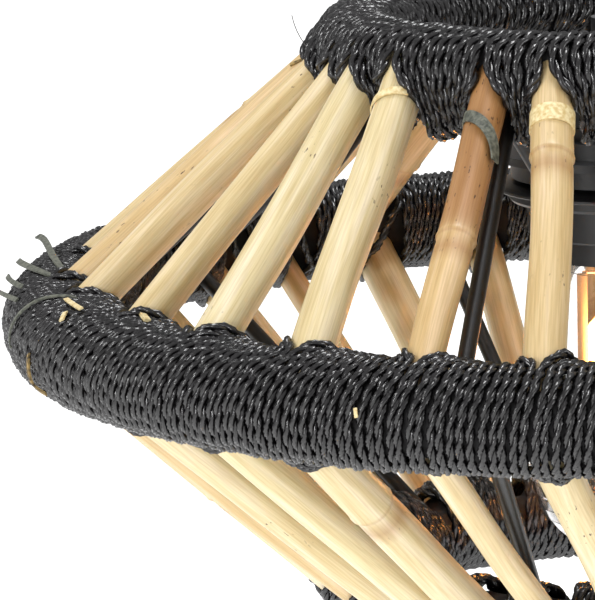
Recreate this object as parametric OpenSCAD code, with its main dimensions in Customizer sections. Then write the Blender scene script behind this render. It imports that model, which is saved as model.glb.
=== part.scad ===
// Pendant lamp: a double-cone shade of bamboo canes bound with twisted cord to three steel
// hoops, hung on an E27 lampholder by its cord entry. Millimetres, +Z up. The origin is the
// centre of the cord entry's mouth. Azimuths are degrees from the front (-Y), seen from below.

/* [Hoops] */
// Radius of the middle hoop, to the centre of its wire
mid_r = 140; // [130:1:165]
// Radius of the top hoop, to the centre of its wire
top_r = 64; // [62:0.5:74]
// Radius of the bottom hoop, to the centre of its wire
bottom_r = 64.5; // [62:0.5:74]
// Height of the top hoop above the middle hoop
top_rise = 65.5; // [60:0.5:80]
// Depth of the bottom hoop under the middle hoop
bottom_drop = 67; // [60:0.5:80]
// Height of the lampholder's rim above the middle hoop
skirt_rise = 13; // [5:1:25]
// Diameter of the steel wire in each hoop
wire_d = 6; // [5:0.5:6.5]

/* [Cord bindings] */
// Diameter of the binding round the top hoop
top_binding_d = 23.4; // [23:0.2:27]
// Diameter of the binding round the middle hoop
mid_binding_d = 26; // [25:0.5:30]
// Diameter of the binding round the bottom hoop
bottom_binding_d = 23.6; // [23:0.2:27]

/* [Canes] */
// Diameter of a cane of middling thickness
cane_d = 9.6; // [8.4:0.2:9.8]
// Height of the ring at a cane's joint
joint_rise = 0.6; // [0.3:0.1:0.9]
// Azimuth of the first cane at the middle hoop
first_cane = -7; // [-10:0.5:-4]

/* [Struts] */
// Diameter of a steel strut or hub arm
strut_d = 4; // [3:0.5:4.5]
// Azimuth of the first strut at the middle hoop
first_strut = -16; // [-17:0.5:-15]

/* [Lampholder] */
// Diameter of the threaded skirt
skirt_d = 39.5; // [38.5:0.1:40.5]
// Distance from the cord entry's mouth down to the skirt's rim
holder_h = 59; // [57:0.5:61]
// Diameter of the hole through the cord grip
cord_hole_d = 7.2; // [6:0.2:8]
// Diameter of the cord grip's collar
grip_d = 13; // [12:0.5:15]
// Diameter of the lower shade ring's flange
lower_flange_d = 60.8; // [58:0.2:62]
// Diameter of the upper shade ring's disc
upper_flange_d = 62; // [58:0.5:63]
// Outer diameter of the hub ring that the shade rings clamp
hub_d = 53.4; // [52:0.2:55]
// Thickness of the hub ring
hub_t = 4.4; // [4.4:0.1:4.8]

/* [Bulb] */
// Greatest diameter of the bulb's glass
bulb_d = 46.8; // [44:0.2:60]
// Length of the glass below the skirt's rim
bulb_drop = 75.5; // [70:0.5:78]
// Thickness of the glass
glass_t = 0.8; // [0.6:0.1:1]
// Length of one light filament
filament_l = 38; // [30:1:42]

/* [Hidden] */
$fn = 96;

// Clearances
lay_gap = 0.3;      // between parts laid beside each other
slip_gap = 0.35;    // between parts that turn or slide past each other
weld_gap = 0.1;     // between welded steel parts
pocket_gap = 0.25;  // between a cane or strut and the cord wound round it

// Counts
bays = 10;
canes_per_bay = 3;
cane_count = bays * canes_per_bay;
cane_pitch = 360 / cane_count;
bay_pitch = 360 / bays;

// Each cane is set by eye, so it leans by its own few degrees. Offsets are from even spacing.
// First the upper canes at the middle hoop and at the top hoop, then the lower ones at the
// middle hoop and at the bottom hoop.
upper_mid_shift = [0, 0, 0, -1, -2, -5, -2, -4, -3, -2, -1, 0, 1, 0, -1,
                   0, 1, 0, 0, -1, 0, 1, 0, 0, 1, 0, -1, 0, 1, 0];
upper_top_shift = [-6, -6, -16, -16.5, -13.5, -14, -11, -9, -7, -7, -5, -6, -7, -5, -6,
                   -8, -6, -4, -5, -7, -8, -7, -5, -4, -3, -3, -4, -4, -3, -1];
lower_mid_shift = [-0.3, 0, -1, -1.3, -1.5, -1, 0, -1, 1, 0, -1, 0, 0, -1, 0,
                   0, -1, 0, 1, 0, 0, -1, -1, 0, 1, 0, 0, -1, -0.5, 0];
lower_end_shift = [10.5, 6.8, 5, 7.5, 9, 7, 5, 3, 3, 2, 1, 0, -1, -3, -3,
                   -1, 0, -2, -4, -2, 0, 1, 3, 2, 3, 5, 4, 5, 8, 9.5];
// Thickness of each cane against a middling one, repeated round the shade
upper_girth = [1, 0.92, 1.12, 1.1, 0.94, 1, 1.04, 0.9, 1.08, 0.98];
lower_girth = [1.04, 0.74, 1.12, 1, 1.06, 0.9, 1.02, 1.1, 0.94, 1];
// Place of each cane's joint, as a share of its length from the small hoop; 0 has none
upper_joint = [0.2, 0.52, 0, 0, 0, 0, 0, 0.3, 0, 0.62,
               0, 0.4, 0.74, 0, 0.26, 0, 0.56, 0, 0.36, 0,
               0.66, 0, 0.3, 0, 0.5, 0.76, 0, 0.34, 0, 0.6];
lower_joint = [0, 0, 0.64, 0, 0, 0, 0.44, 0, 0, 0.26,
               0.6, 0, 0.36, 0, 0.72, 0, 0, 0.5, 0.3, 0,
               0, 0.64, 0, 0.4, 0, 0.24, 0, 0.56, 0, 0.7];
girth_max = max(max(upper_girth), max(lower_girth));
joint_w = 1.6;               // half the height of a cane's joint ring

// Heights under the cord entry's mouth
skirt_z = -holder_h;
mid_z = skirt_z - skirt_rise;
top_z = mid_z + top_rise;
bottom_z = mid_z - bottom_drop;

// Lampholder, measured up from the skirt's rim
skirt_h = 33.8;
ledge_h = 26;
lower_ring_h = 14.1;
lower_collar_h = 5.7;
lower_collar_r = 22.6;
flange_h = 18;
hub_h = 20.1;
hub_z = skirt_z + hub_h;
upper_ring_z = hub_z + hub_t + lay_gap;
upper_disc_t = 2;
upper_collar_h = 6;
upper_collar_d = 49;
cap_z = skirt_z + skirt_h + lay_gap;
cap_h = 15;
cap_wall = 2.4;
cap_collar_h = 5.4;
skirt_wall = 2;
socket_d = 29.2;
grip_neck_d = cord_hole_d + 4;
grip_tail = 5;
grip_z = cap_z + cap_h;
grip_screw_d = 3;

// Contacts and bulb, measured up from the skirt's rim
shell_t = 0.7;
screw_shell_d = socket_d - 2 * lay_gap;
base_d = screw_shell_d - 2 * shell_t - 2 * slip_gap;
base_low = 1;
base_high = 21.4;
base_t = 0.45;
insulator_h = 2;
tip_h = 1.2;
tip_d = base_d * 0.35;
terminal_out = socket_d * 0.35;
tip_z = skirt_z + base_high + insulator_h + tip_h;
neck_d = base_d - 2 * base_t - 2 * slip_gap;
neck_in = 5;
globe_z = skirt_z - bulb_drop + bulb_d / 2;
stem_r = 3.4;
stem_low = 6;
filament_r = 1.3;
filament_orbit = 9.4;
filament_count = 4;
filament_z = skirt_z - 5;
lead_r = 0.35;

// Where welded steel parts run: beside the hoop wires, on the inner side of the shade
strut_r = strut_d / 2;
strut_in = wire_d / 2 + strut_r + weld_gap;
strut_side = 2.4;  // the lower struts stand this many degrees beside the upper ones
cane_out = cane_d / 2 * girth_max + joint_rise + lay_gap + strut_r - strut_in;
cane_stop = strut_in + strut_r / 2 + 2 * lay_gap;
strut_top_lean = -8;
strut_bottom_lean = -3;
arm_count = 3;
first_arm = -30;
weld_bead = 0.4;
arm_bend_r = upper_flange_d / 2 + strut_r + weld_bead + 1;

function on_ring(r, z, a) = [r * sin(a), -r * cos(a), z];
// Unit vector, in (radius, height), from a small hoop to the middle hoop
function slope(small_r, small_z) =
    [mid_r - small_r, mid_z - small_z] / norm([mid_r - small_r, mid_z - small_z]);
// Unit vector out of the shade's face, in (radius, height)
function outward(small_r, small_z) =
    let (s = slope(small_r, small_z)) small_z > mid_z ? [-s[1], s[0]] : [s[1], -s[0]];
// A point beside a hoop's wire, at azimuth a and off along the shade's outward direction
function beside(hoop_r, hoop_z, small_r, small_z, off, a) =
    let (n = outward(small_r, small_z)) on_ring(hoop_r + off * n[0], hoop_z + off * n[1], a);
function toward(p, q, s) = p + (q - p) * s / norm(q - p);

function cane_azimuth(k, shift) = first_cane - k * cane_pitch + shift[k];
function upper_cane_ends(k) = [
    beside(top_r, top_z, top_r, top_z, cane_out, cane_azimuth(k, upper_top_shift)),
    beside(mid_r, mid_z, top_r, top_z, cane_out, cane_azimuth(k, upper_mid_shift))
];
function lower_cane_ends(k) = [
    beside(bottom_r, bottom_z, bottom_r, bottom_z, cane_out, cane_azimuth(k, lower_end_shift)),
    beside(mid_r, mid_z, bottom_r, bottom_z, cane_out, cane_azimuth(k, lower_mid_shift))
];
function strut_azimuth(j, lean) = first_strut - j * bay_pitch + lean;
function upper_strut_ends(j) = [
    beside(top_r, top_z, top_r, top_z, -strut_in, strut_azimuth(j, strut_top_lean)),
    beside(mid_r, mid_z, top_r, top_z, -strut_in, strut_azimuth(j, 0))
];
function lower_strut_ends(j) = [
    beside(bottom_r, bottom_z, bottom_r, bottom_z, -strut_in, strut_azimuth(j, strut_bottom_lean)),
    beside(mid_r, mid_z, bottom_r, bottom_z, -strut_in, strut_azimuth(j, strut_side))
];
function upper_cane_r(k) = cane_d / 2 * upper_girth[k % len(upper_girth)];
function lower_cane_r(k) = cane_d / 2 * lower_girth[k % len(lower_girth)];

// Puts its children's Z axis on the line from p to q, starting at p
module along(p, q) {
    v = q - p;
    translate(p)
        rotate([0, acos(v[2] / norm(v)), atan2(v[1], v[0])])
            children();
}

module rod(p, q, r) {
    along(p, q)
        cylinder(r = r, h = norm(q - p));
}

module torus(ring_r, z, tube_d) {
    translate([0, 0, z])
        rotate_extrude()
            translate([ring_r, 0])
                circle(d = tube_d);
}

// A straight cane of radius r between two hoops, with one joint ring at share s of its length
module cane(ends, r, s) {
    p = toward(ends[0], ends[1], cane_stop);
    q = toward(ends[1], ends[0], cane_stop);
    l = norm(q - p);
    at = l * s;
    ring = s == 0 ? [] : [
        [r, at - 2 * joint_w],
        [r + joint_rise / 2, at - joint_w / 2],
        [r + joint_rise, at],
        [r + joint_rise / 3, at + joint_w / 2],
        [r - joint_rise / 2, at + joint_w],
        [r, at + 2 * joint_w]
    ];
    along(p, q)
        rotate_extrude($fn = 48)
            polygon(concat([[0, 0], [r, 0]], ring, [[r, l], [0, l]]));
}

// The room that a cane takes in the bindings at its two ends
module cane_pocket(ends, r) {
    p = toward(ends[0], ends[1], cane_stop - pocket_gap);
    q = toward(ends[1], ends[0], cane_stop - pocket_gap);
    rod(p, q, r + pocket_gap);
}

module strut(ends, gap) {
    rod(toward(ends[0], ends[1], -gap), toward(ends[1], ends[0], -gap), strut_r + gap);
}

// A hub arm lies in an upright plane at azimuth a. It runs level out of the hub ring to a
// welded corner past the upper shade ring, then rises straight to the top hoop's wire.
arm_to_wire = [top_r - arm_bend_r, top_z - hub_z - hub_t / 2];
arm_rise_angle = atan2(arm_to_wire[1], arm_to_wire[0]);
arm_rise_l = norm(arm_to_wire) - wire_d / 2 - weld_gap;

module arm_place(a) {
    rotate([0, 0, a - 90])
        translate([arm_bend_r, 0, hub_z + hub_t / 2])
            children();
}

module arm_rise(gap) {
    rotate([0, 90 - arm_rise_angle, 0])
        cylinder(r = strut_r + gap, h = arm_rise_l + gap);
}

module hub_arm() {
    level_l = arm_bend_r - hub_d / 2 - weld_gap;
    translate([-level_l, 0, 0])
        rotate([0, 90, 0])
            cylinder(r = strut_r, h = level_l);
    sphere(r = strut_r + weld_bead);
    arm_rise(0);
}

module top_hoop() {
    color("dimgray")
        torus(top_r, top_z, wire_d);
}

module middle_hoop() {
    color("dimgray")
        torus(mid_r, mid_z, wire_d);
}

module bottom_hoop() {
    color("dimgray")
        torus(bottom_r, bottom_z, wire_d);
}

module upper_struts() {
    color("#18181a")
        for (j = [0 : bays - 1])
            strut(upper_strut_ends(j), 0);
}

module lower_struts() {
    color("#18181a")
        for (j = [0 : bays - 1])
            strut(lower_strut_ends(j), 0);
}

module hub_ring() {
    color("#18181a")
        translate([0, 0, hub_z])
            difference() {
                cylinder(d = hub_d, h = hub_t);
                translate([0, 0, -1])
                    cylinder(d = skirt_d + 2 * slip_gap, h = hub_t + 2);
            }
}

module hub_arms() {
    color("#18181a")
        for (i = [0 : arm_count - 1])
            arm_place(first_arm + i * 360 / arm_count)
                hub_arm();
}

module top_binding() {
    color("#202022")
        difference() {
            torus(top_r, top_z, top_binding_d);
            torus(top_r, top_z, wire_d + 2 * pocket_gap);
            for (k = [0 : cane_count - 1])
                cane_pocket(upper_cane_ends(k), upper_cane_r(k));
            for (j = [0 : bays - 1])
                strut(upper_strut_ends(j), pocket_gap);
            for (i = [0 : arm_count - 1])
                arm_place(first_arm + i * 360 / arm_count)
                    arm_rise(pocket_gap);
        }
}

module middle_binding() {
    color("#202022")
        difference() {
            torus(mid_r, mid_z, mid_binding_d);
            torus(mid_r, mid_z, wire_d + 2 * pocket_gap);
            for (k = [0 : cane_count - 1]) {
                cane_pocket(upper_cane_ends(k), upper_cane_r(k));
                cane_pocket(lower_cane_ends(k), lower_cane_r(k));
            }
            for (j = [0 : bays - 1]) {
                strut(upper_strut_ends(j), pocket_gap);
                strut(lower_strut_ends(j), pocket_gap);
            }
        }
}

module bottom_binding() {
    color("#202022")
        difference() {
            torus(bottom_r, bottom_z, bottom_binding_d);
            torus(bottom_r, bottom_z, wire_d + 2 * pocket_gap);
            for (k = [0 : cane_count - 1])
                cane_pocket(lower_cane_ends(k), lower_cane_r(k));
            for (j = [0 : bays - 1])
                strut(lower_strut_ends(j), pocket_gap);
        }
}

module upper_canes(bay) {
    first = (bay - 1) * canes_per_bay;
    color("#e3d3a2")
        for (k = [first : first + canes_per_bay - 1])
            cane(upper_cane_ends(k), upper_cane_r(k), upper_joint[k]);
}

module lower_canes(bay) {
    first = (bay - 1) * canes_per_bay;
    color("#e3d3a2")
        for (k = [first : first + canes_per_bay - 1])
            cane(lower_cane_ends(k), lower_cane_r(k), lower_joint[k]);
}

// Cap: a domed cup over the terminals, with a collar that screws into the skirt
module holder_cap() {
    r = skirt_d / 2;
    bore_r = r - skirt_wall - lay_gap;
    dome = cap_h / 2;
    color("#1c1c1e")
        translate([0, 0, cap_z])
            rotate_extrude()
                difference() {
                    union() {
                        translate([0, -cap_collar_h])
                            square([bore_r, cap_collar_h + 1]);
                        square([r, cap_h - dome]);
                        translate([0, cap_h - dome])
                            square([r - dome, dome]);
                        translate([r - dome, cap_h - dome])
                            intersection() {
                                circle(r = dome);
                                square(dome);
                            }
                    }
                    translate([0, -cap_collar_h - 1])
                        square([bore_r - cap_wall, cap_h - cap_wall - dome / 2 + cap_collar_h + 1]);
                    square([grip_neck_d / 2 + lay_gap, cap_h + 1]);
                }
}

// Cord grip: a flanged nipple in the cap's mouth, bored for the supply cord
module cord_grip() {
    color("#1c1c1e")
        difference() {
            union() {
                translate([0, 0, grip_z + lay_gap])
                    cylinder(d = grip_d, h = -grip_z - lay_gap);
                translate([0, 0, grip_z - grip_tail])
                    cylinder(d = grip_neck_d, h = grip_tail + 1);
            }
            translate([0, 0, grip_z - grip_tail - 1])
                cylinder(d = cord_hole_d, h = grip_tail - grip_z + 2);
            translate([0, 0, grip_z / 2])
                rotate([0, 90, 0])
                    cylinder(d = grip_screw_d + 2 * lay_gap, h = grip_d);
        }
}

module grip_screw() {
    color("silver")
        translate([cord_hole_d / 2 + lay_gap, 0, grip_z / 2])
            rotate([0, 90, 0])
                difference() {
                    cylinder(d = grip_screw_d, h = (grip_d - cord_hole_d) / 2 + 1);
                    translate([-grip_screw_d, -0.3, (grip_d - cord_hole_d) / 2 + 0.4])
                        cube([2 * grip_screw_d, 0.6, 1]);
                }
}

// Skirt: the threaded sleeve that the bulb goes up into, with a ledge for the contact block
module holder_skirt() {
    r = skirt_d / 2;
    color("#1c1c1e")
        translate([0, 0, skirt_z])
            difference() {
                cylinder(r = r, h = skirt_h);
                translate([0, 0, -1])
                    cylinder(d = socket_d, h = skirt_h + 2);
                translate([0, 0, ledge_h])
                    cylinder(r = r - skirt_wall, h = skirt_h);
            }
}

// Contact block: a flanged disc on the skirt's ledge, held down by the cap's collar
module contact_block() {
    flange_r = skirt_d / 2 - skirt_wall - lay_gap;
    z = skirt_z + ledge_h + weld_gap;
    flange_t = cap_z - cap_collar_h - lay_gap - z;
    post_w = 8;
    post_h = 12;
    color("ivory")
        translate([0, 0, z])
            difference() {
                union() {
                    cylinder(r = flange_r, h = flange_t);
                    for (side = [-1, 1])
                        translate([side * post_w - post_w / 4, -post_w / 2, 0])
                            cube([post_w / 2, post_w, post_h]);
                }
                translate([0, 0, -1])
                    cylinder(r = 1.5, h = flange_t + 2);
            }
}

module screw_shell() {
    color("silver")
        translate([0, 0, skirt_z + base_low])
            difference() {
                cylinder(d = screw_shell_d, h = ledge_h - base_low - lay_gap);
                translate([0, 0, -1])
                    cylinder(d = screw_shell_d - 2 * shell_t, h = ledge_h);
            }
}

// Centre contact: a sprung strip riveted through the block, above the bulb's tip
module centre_contact() {
    z = skirt_z + ledge_h;
    low = tip_z + slip_gap;
    color("goldenrod")
        union() {
            translate([0, 0, low])
                cylinder(r = 1.2, h = z - low + 2);
            translate([0, 0, low])
                cylinder(r = 3, h = 0.5);
        }
}

// Side contact: a strip that joins the screw shell to its terminal
module side_contact() {
    z = skirt_z + ledge_h - lay_gap;
    color("goldenrod")
        translate([screw_shell_d / 2 - shell_t - 4, -1.5, z - 0.5])
            cube([4 - lay_gap, 3, 0.5]);
}

module terminal_screws() {
    z = skirt_z + ledge_h + weld_gap + 8;
    color("silver")
        for (side = [-1, 1])
            translate([side * terminal_out, 0, z])
                rotate([0, side * 90, 0])
                    difference() {
                        cylinder(r = 2, h = 2);
                        translate([-3, -0.3, 1.3])
                            cube([6, 0.6, 1]);
                    }
}

// Upper shade ring: a thin disc with a gripping collar above it
module upper_shade_ring() {
    color("#1c1c1e")
        translate([0, 0, upper_ring_z])
            difference() {
                union() {
                    cylinder(d = upper_flange_d, h = upper_disc_t);
                    cylinder(d = upper_collar_d, h = upper_collar_h);
                }
                translate([0, 0, -1])
                    cylinder(d = skirt_d + 2 * slip_gap, h = upper_collar_h + 2);
            }
}

// Lower shade ring: a flange with a domed top, a smaller tier under it and a collar below
module lower_shade_ring() {
    r = lower_flange_d / 2;
    bore_r = skirt_d / 2 + slip_gap;
    seat_h = hub_h - lay_gap;
    rim_t = 1;
    tier_r = r - 3.1;
    color("#1c1c1e")
        translate([0, 0, skirt_z])
            rotate_extrude()
                polygon([
                    [bore_r, lower_collar_h], [lower_collar_r - 0.5, lower_collar_h],
                    [lower_collar_r, lower_collar_h + 0.5], [lower_collar_r, lower_ring_h],
                    [tier_r - 0.8, lower_ring_h],
                    [tier_r, lower_ring_h + 0.8], [tier_r, flange_h - rim_t],
                    [r - 0.3, flange_h - rim_t], [r, flange_h - rim_t + 0.3],
                    [r, flange_h - 0.2], [r - 1.2, flange_h + 0.5], [r - 2.8, flange_h + 1.1],
                    [r - 4.8, flange_h + 1.5], [r - 6.4, seat_h], [bore_r, seat_h]
                ]);
}

// Bulb glass: radius of its outside at share t of the way from its neck to the globe's equator
function swell(t) = neck_d / 2 + (bulb_d - neck_d) / 2 * (1 - cos(180 * t)) / 2;
function glass_side(inset, steps) = [
    for (i = [0 : steps])
        let (t = i / steps, z = skirt_z * (1 - t) + globe_z * t) [swell(pow(t, 0.7)) - inset, z]
];
function glass_dome(inset, steps) = [
    for (i = [1 : steps - 1])
        let (a = 90 * i / steps, r = bulb_d / 2 - inset) [r * cos(a), globe_z - r * sin(a)]
];
function reversed(list) = [for (i = [len(list) - 1 : -1 : 0]) list[i]];

module bulb_glass() {
    neck_r = neck_d / 2;
    outer = concat(
        [[neck_r, skirt_z + base_low + neck_in]], glass_side(0, 14), glass_dome(0, 10),
        [[0, globe_z - bulb_d / 2]]
    );
    inner = concat(
        [[neck_r - glass_t, skirt_z + base_low + neck_in]], glass_side(glass_t, 14),
        glass_dome(glass_t, 10), [[0, globe_z - bulb_d / 2 + glass_t]]
    );
    color([0.85, 0.88, 0.9, 0.35])
        rotate_extrude()
            polygon(concat(outer, reversed(inner)));
}

module bulb_base() {
    color("silver")
        translate([0, 0, skirt_z])
            difference() {
                union() {
                    translate([0, 0, base_low])
                        cylinder(d = base_d, h = base_high - base_low - 1);
                    translate([0, 0, base_high - 1])
                        cylinder(d1 = base_d, d2 = base_d - 6, h = 1);
                }
                cylinder(d = base_d - 2 * base_t, h = base_high - 1 - base_t);
            }
}

module bulb_insulator() {
    color("black")
        translate([0, 0, skirt_z + base_high])
            cylinder(d1 = base_d * 0.72, d2 = tip_d + 1, h = insulator_h);
}

module bulb_tip() {
    color("silver")
        translate([0, 0, skirt_z + base_high + insulator_h])
            cylinder(d1 = tip_d, d2 = tip_d * 0.7, h = tip_h);
}

// Stem: a glass rod down the bulb's axis, with a flare that seals the neck
module bulb_stem() {
    top = skirt_z + base_low + neck_in - 2;
    bottom = filament_z - filament_l - stem_low;
    color([0.85, 0.88, 0.9, 0.5])
        union() {
            translate([0, 0, top - 1])
                cylinder(r = neck_d / 2 - glass_t - slip_gap, h = 1);
            translate([0, 0, top - 8])
                cylinder(r1 = stem_r, r2 = stem_r * 2.2, h = 7.5);
            translate([0, 0, filament_z - filament_l / 3])
                cylinder(r = stem_r, h = top - 7 - filament_z + filament_l / 3);
            translate([0, 0, bottom])
                cylinder(r = stem_r / 3, h = filament_z - bottom);
        }
}

function filament_azimuth(i) = -90 + i * 360 / filament_count;

module bulb_filaments() {
    color("#e0a860")
        for (i = [0 : filament_count - 1])
            translate(on_ring(filament_orbit, filament_z - filament_l, filament_azimuth(i)))
                cylinder(r = filament_r, h = filament_l, $fn = 24);
}

// Lead wires: a spoke from the stem to each end of each filament
module bulb_lead_wires() {
    inner_r = stem_r + weld_gap;
    low_inner_r = stem_r / 3 + weld_gap;
    color("silver")
        for (i = [0 : filament_count - 1]) {
            a = filament_azimuth(i);
            high = filament_z + lead_r + weld_gap;
            low = filament_z - filament_l - lead_r - weld_gap;
            rod(on_ring(inner_r, high, a), on_ring(filament_orbit, high, a), lead_r);
            rod(on_ring(low_inner_r, low, a), on_ring(filament_orbit, low, a), lead_r);
        }
}

top_hoop();
middle_hoop();
bottom_hoop();
upper_struts();
lower_struts();
hub_ring();
hub_arms();
top_binding();
middle_binding();
bottom_binding();
upper_canes(1);  // upper_canes_01
upper_canes(2);  // upper_canes_02
upper_canes(3);  // upper_canes_03
upper_canes(4);  // upper_canes_04
upper_canes(5);  // upper_canes_05
upper_canes(6);  // upper_canes_06
upper_canes(7);  // upper_canes_07
upper_canes(8);  // upper_canes_08
upper_canes(9);  // upper_canes_09
upper_canes(10);  // upper_canes_10
lower_canes(1);  // lower_canes_01
lower_canes(2);  // lower_canes_02
lower_canes(3);  // lower_canes_03
lower_canes(4);  // lower_canes_04
lower_canes(5);  // lower_canes_05
lower_canes(6);  // lower_canes_06
lower_canes(7);  // lower_canes_07
lower_canes(8);  // lower_canes_08
lower_canes(9);  // lower_canes_09
lower_canes(10);  // lower_canes_10
holder_cap();
cord_grip();
grip_screw();
holder_skirt();
contact_block();
screw_shell();
centre_contact();
side_contact();
terminal_screws();
upper_shade_ring();
lower_shade_ring();
bulb_glass();
bulb_base();
bulb_insulator();
bulb_tip();
bulb_stem();
bulb_filaments();
bulb_lead_wires();
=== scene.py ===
import math

import bmesh
import bpy
import numpy as np
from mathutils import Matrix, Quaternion, Vector


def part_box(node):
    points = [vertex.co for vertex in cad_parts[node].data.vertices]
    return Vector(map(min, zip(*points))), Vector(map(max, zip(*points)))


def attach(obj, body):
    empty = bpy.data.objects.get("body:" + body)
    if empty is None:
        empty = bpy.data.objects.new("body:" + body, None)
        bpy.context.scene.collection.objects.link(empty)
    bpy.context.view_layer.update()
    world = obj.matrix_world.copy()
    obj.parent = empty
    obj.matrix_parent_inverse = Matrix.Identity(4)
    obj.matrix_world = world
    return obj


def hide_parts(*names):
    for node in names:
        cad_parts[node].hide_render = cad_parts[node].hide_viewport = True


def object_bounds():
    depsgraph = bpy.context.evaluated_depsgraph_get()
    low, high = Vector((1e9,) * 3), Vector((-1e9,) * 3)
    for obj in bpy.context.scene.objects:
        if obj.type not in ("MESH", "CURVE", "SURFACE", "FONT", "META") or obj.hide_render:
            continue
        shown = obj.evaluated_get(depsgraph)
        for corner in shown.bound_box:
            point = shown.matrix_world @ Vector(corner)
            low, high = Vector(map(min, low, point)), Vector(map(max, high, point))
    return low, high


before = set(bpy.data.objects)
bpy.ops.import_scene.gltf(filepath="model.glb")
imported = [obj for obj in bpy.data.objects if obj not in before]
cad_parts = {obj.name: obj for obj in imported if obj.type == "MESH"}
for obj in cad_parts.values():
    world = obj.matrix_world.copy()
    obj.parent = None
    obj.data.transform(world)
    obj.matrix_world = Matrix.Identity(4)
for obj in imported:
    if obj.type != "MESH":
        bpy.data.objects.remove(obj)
cad_box = [list(corner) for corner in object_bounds()]

# Setting the lamp is looked at in: a wide pale floor well under it, an even white surround and
# large soft lamps, with a long lens that looks a little down on the left half of the shade.
scene = bpy.context.scene
mid_low, mid_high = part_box("middle_binding")
mid_z = (mid_low.z + mid_high.z) / 2
mid_tube = (mid_high.z - mid_low.z) / 2
mid_r = mid_high.y - mid_tube
EYE_DISTANCE = 9.394 * mid_r
EYE_TILT = 0.1853
EYE_ROLL = -0.0224
LENS_MM = 318.8
AIM_LEFT, AIM_UP = 0.5708 * mid_r, 0.016 * mid_r
aim = Vector((-AIM_LEFT, 0, mid_z + AIM_UP))
eye = Vector((0, -EYE_DISTANCE * math.cos(EYE_TILT), mid_z + EYE_DISTANCE * math.sin(EYE_TILT)))
camera_data = bpy.data.cameras.new("camera")
camera_data.lens = LENS_MM
camera_data.clip_end = 100
camera = bpy.data.objects.new("camera", camera_data)
scene.collection.objects.link(camera)
camera.location = eye
camera.rotation_mode = "QUATERNION"
look = (aim - eye).to_track_quat("-Z", "Y")
camera.rotation_quaternion = look @ Quaternion((0, 0, 1), EYE_ROLL)
scene.camera = camera


def colour(hex_code):
    """An sRGB hex code such as "e3d3a2" as linear RGBA."""
    def linear(c):
        return c / 12.92 if c <= 0.04045 else ((c + 0.055) / 1.055) ** 2.4
    return tuple(linear(int(hex_code[i:i + 2], 16) / 255) for i in (0, 2, 4)) + (1,)


def new_material(name, **settings):
    """A material and its shader. A setting's name is its socket's, with spaces as underscores."""
    material = bpy.data.materials.new(name)
    material.use_nodes = True
    shader = material.node_tree.nodes["Principled BSDF"]
    for socket, value in settings.items():
        shader.inputs[socket.replace("_", " ")].default_value = value
    return material, shader


def mesh_piece(name, vertices, faces, material, smooth=True):
    """An object of its own with a new mesh, at the origin."""
    mesh = bpy.data.meshes.new(name)
    mesh.from_pydata([tuple(v) for v in vertices], [], [tuple(f) for f in faces])
    mesh.materials.append(material)
    mesh.polygons.foreach_set("use_smooth", [smooth] * len(mesh.polygons))
    mesh.update()
    piece = bpy.data.objects.new(name, mesh)
    scene.collection.objects.link(piece)
    return piece


FLOOR_DROP = 0.9  # metres, as the lamp hangs well clear of it
FLOOR_HALF = 14
SURROUND = 0.58  # brightness of the even white round the lamp
floor_z = cad_box[0][2] - FLOOR_DROP
# Matt paint has no gloss, so the floor stays one even white.
floor_material = new_material("matt white paint", Base_Color=colour("fbfbfa"), Roughness=0.9,
                              Emission_Color=(1, 1, 1, 1), Emission_Strength=0.75)[0]
corners = [(-FLOOR_HALF, -FLOOR_HALF), (FLOOR_HALF, -FLOOR_HALF), (FLOOR_HALF, FLOOR_HALF),
           (-FLOOR_HALF, FLOOR_HALF)]
floor = mesh_piece("floor", [(x, y, floor_z) for x, y in corners], [(0, 1, 2, 3)], floor_material)

world = bpy.data.worlds.new("surround")
world.use_nodes = True
surround = world.node_tree.nodes["Background"]
surround.inputs["Color"].default_value = (1, 1, 1, 1)
surround.inputs["Strength"].default_value = SURROUND
scene.world = world
scene.view_settings.view_transform = "Standard"

SOFT_LAMPS = {  # name: (place, width, power) in metres and watts
    "key": ((-1.45, -1.0, 1.15), 0.32, 14),
    "low": ((-0.85, -1.5, 0.12), 0.2, 7),
    "side": ((1.7, -0.9, 0.5), 0.8, 9),
    "top": ((0.1, 0.5, 1.6), 0.5, 14),
}
for lamp_name, (place, width, power) in SOFT_LAMPS.items():
    light = bpy.data.lights.new(lamp_name, "AREA")
    light.size = width
    light.energy = power
    lamp = bpy.data.objects.new(lamp_name, light)
    lamp.location = place
    lamp.rotation_mode = "QUATERNION"
    lamp.rotation_quaternion = (Vector((0, 0, mid_z)) - lamp.location).to_track_quat("-Z", "Y")
    scene.collection.objects.link(lamp)

# Steel frame: three hoops, the struts between them, and the hub with its arms. Mild steel wire,
# bent and welded, then powder coated in black, which leaves a fine orange peel in the gloss.
MM = 0.001


def add(tree, kind, settings=None, **inputs):
    """Adds a node. An input's name has its spaces as underscores, or is _ and its number, and a
    node's output given there is linked."""
    node = tree.nodes.new(kind)
    for key, value in (settings or {}).items():
        setattr(node, key, value)
    for key, value in inputs.items():
        number = key[1:]
        socket = node.inputs[int(number) if number.isdigit() else key.replace("_", " ")]
        if isinstance(value, bpy.types.NodeSocket):
            tree.links.new(value, socket)
        else:
            socket.default_value = value
    return node


def ramp(tree, factor, *stops):
    """A colour ramp on a factor; each stop is (place, hex code)."""
    node = add(tree, "ShaderNodeValToRGB", Fac=factor)
    elements = node.color_ramp.elements
    while len(elements) < len(stops):
        elements.new(0.5)
    for element, (place, code) in zip(elements, stops):
        element.position = place
        element.color = colour(code)
    return node.outputs["Color"]


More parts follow.
